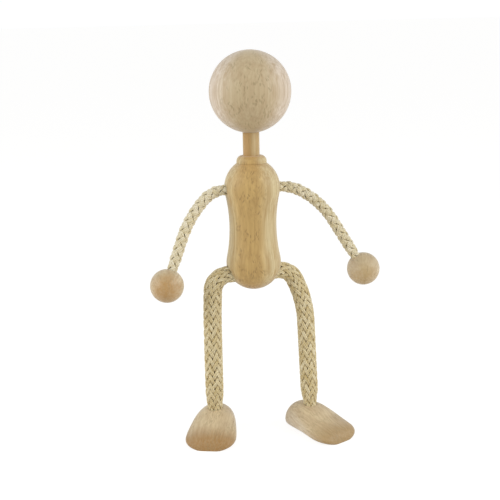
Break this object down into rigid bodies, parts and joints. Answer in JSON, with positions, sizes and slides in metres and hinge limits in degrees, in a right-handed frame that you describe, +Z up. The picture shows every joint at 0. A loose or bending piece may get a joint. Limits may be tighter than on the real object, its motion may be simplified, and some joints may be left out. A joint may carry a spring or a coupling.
{
  "type": "wooden puppet",
  "caption": "Small unpainted wooden puppet standing: ball head on a dowel neck, turned waisted body, braided cord arms with ball hands and thicker braided legs with shoe-shaped feet.",
  "frame": {"origin": "on the floor under the middle of the puppet's box", "axes": "+Z up, the puppet faces -Y, its own left side is +X"},
  "size_m": [0.1154, 0.0478, 0.1923],
  "materials": {
    "pale_wood": "raw sanded beech",
    "warm_wood": "raw turned beech",
    "arm_braid": "natural cotton braid",
    "leg_braid": "natural cotton braid",
    "wire": "soft steel wire"
  },
  "bodies": {
    "torso": {"torso": "warm_wood", "neck_dowel": "warm_wood", "arm_cord_middle": "arm_braid", "arm_wire_middle": "wire", "leg_cord_middle": "leg_braid", "leg_wire_middle": "wire"},
    "head": {"head": "pale_wood"},
    "left_shoulder": {"left_arm_root": "arm_braid", "left_arm_root_wire": "wire"},
    "left_upper_arm": {"left_shoulder_bend": "arm_braid", "left_shoulder_bend_wire": "wire", "left_upper_arm": "arm_braid", "left_upper_arm_wire": "wire"},
    "left_forearm": {"left_elbow_bend": "arm_braid", "left_elbow_bend_wire": "wire", "left_forearm": "arm_braid", "left_forearm_wire": "wire", "left_hand": "pale_wood"},
    "left_hip": {"left_leg_root": "leg_braid", "left_leg_root_wire": "wire"},
    "left_thigh": {"left_hip_bend": "leg_braid", "left_hip_bend_wire": "wire", "left_thigh": "leg_braid", "left_thigh_wire": "wire"},
    "left_shin": {"left_knee_bend": "leg_braid", "left_knee_bend_wire": "wire", "left_shin": "leg_braid", "left_shin_wire": "wire"},
    "left_foot": {"left_foot": "pale_wood"},
    "right_shoulder": {"right_arm_root": "arm_braid", "right_arm_root_wire": "wire"},
    "right_upper_arm": {"right_shoulder_bend": "arm_braid", "right_shoulder_bend_wire": "wire", "right_upper_arm": "arm_braid", "right_upper_arm_wire": "wire"},
    "right_forearm": {"right_elbow_bend": "arm_braid", "right_elbow_bend_wire": "wire", "right_forearm": "arm_braid", "right_forearm_wire": "wire", "right_hand": "pale_wood"},
    "right_hip": {"right_leg_root": "leg_braid", "right_leg_root_wire": "wire"},
    "right_thigh": {"right_hip_bend": "leg_braid", "right_hip_bend_wire": "wire", "right_thigh": "leg_braid", "right_thigh_wire": "wire"},
    "right_shin": {"right_knee_bend": "leg_braid", "right_knee_bend_wire": "wire", "right_shin": "leg_braid", "right_shin_wire": "wire"},
    "right_foot": {"right_foot": "pale_wood"}
  },
  "joints": [
    {"name": "head_turn", "type": "hinge", "parent": "torso", "child": "head", "pos_m": [-0.00498, 0.00347, 0.17269], "axis": [0, 0, 1], "continuous": true},
    {"name": "left_arm_swing", "type": "hinge", "parent": "torso", "child": "left_shoulder", "pos_m": [0.00851, 0.00347, 0.1262], "axis": [-1, 0, 0], "range_deg": [-60, 170]},
    {"name": "left_arm_raise", "type": "hinge", "parent": "left_shoulder", "child": "left_upper_arm", "pos_m": [0.01435, 0.00336, 0.12552], "axis": [0, -0.9877, 0.1564], "range_deg": [-8, 120], "deforming": ["left_shoulder_bend", "left_shoulder_bend_wire"]},
    {"name": "left_elbow_bend", "type": "hinge", "parent": "left_upper_arm", "child": "left_forearm", "pos_m": [0.03157, 0.00144, 0.11336], "axis": [-0.7831, -0.0973, -0.6142], "range_deg": [-30, 100], "deforming": ["left_elbow_bend", "left_elbow_bend_wire"]},
    {"name": "left_leg_swing", "type": "hinge", "parent": "torso", "child": "left_hip", "pos_m": [0.00732, 0.00347, 0.0844], "axis": [-1, 0, 0], "range_deg": [-60, 100]},
    {"name": "left_leg_spread", "type": "hinge", "parent": "left_hip", "child": "left_thigh", "pos_m": [0.01239, 0.00341, 0.08306], "axis": [0, -0.999, 0.0456], "range_deg": [-6, 50], "deforming": ["left_hip_bend", "left_hip_bend_wire"]},
    {"name": "left_knee_bend", "type": "hinge", "parent": "left_thigh", "child": "left_shin", "pos_m": [0.02124, 0.00192, 0.05033], "axis": [0.9997, 0.0012, 0.0261], "range_deg": [-30, 100], "deforming": ["left_knee_bend", "left_knee_bend_wire"]},
    {"name": "left_foot_turn", "type": "hinge", "parent": "left_shin", "child": "left_foot", "pos_m": [0.02219, 0.00027, 0.01429], "axis": [-0.0262, 0.0456, 0.9986], "range_deg": [-40, 40]},
    {"name": "right_arm_swing", "type": "hinge", "parent": "torso", "child": "right_shoulder", "pos_m": [-0.01847, 0.00347, 0.1262], "axis": [-1, 0, 0], "range_deg": [-60, 170]},
    {"name": "right_arm_raise", "type": "hinge", "parent": "right_shoulder", "child": "right_upper_arm", "pos_m": [-0.02424, 0.00331, 0.12516], "axis": [0, 0.9877, -0.1564], "range_deg": [-8, 120], "deforming": ["right_shoulder_bend", "right_shoulder_bend_wire"]},
    {"name": "right_elbow_bend", "type": "hinge", "parent": "right_upper_arm", "child": "right_forearm", "pos_m": [-0.0384, 0.00085, 0.10963], "axis": [-0.8803, 0.0742, 0.4685], "range_deg": [-30, 100], "deforming": ["right_elbow_bend", "right_elbow_bend_wire"]},
    {"name": "right_leg_swing", "type": "hinge", "parent": "torso", "child": "right_hip", "pos_m": [-0.01729, 0.00347, 0.0844], "axis": [-1, 0, 0], "range_deg": [-60, 100]},
    {"name": "right_leg_spread", "type": "hinge", "parent": "right_hip", "child": "right_thigh", "pos_m": [-0.02332, 0.00368, 0.08214], "axis": [0, 0.9957, 0.0923], "range_deg": [-6, 50], "deforming": ["right_hip_bend", "right_hip_bend_wire"]},
    {"name": "right_knee_bend", "type": "hinge", "parent": "right_thigh", "child": "right_shin", "pos_m": [-0.02586, 0.00696, 0.04675], "axis": [0.9998, -0.0016, 0.0174], "range_deg": [-30, 100], "deforming": ["right_knee_bend", "right_knee_bend_wire"]},
    {"name": "right_foot_turn", "type": "hinge", "parent": "right_shin", "child": "right_foot", "pos_m": [-0.02529, 0.00997, 0.01429], "axis": [-0.0174, -0.0923, 0.9956], "range_deg": [-40, 40]}
  ]
}
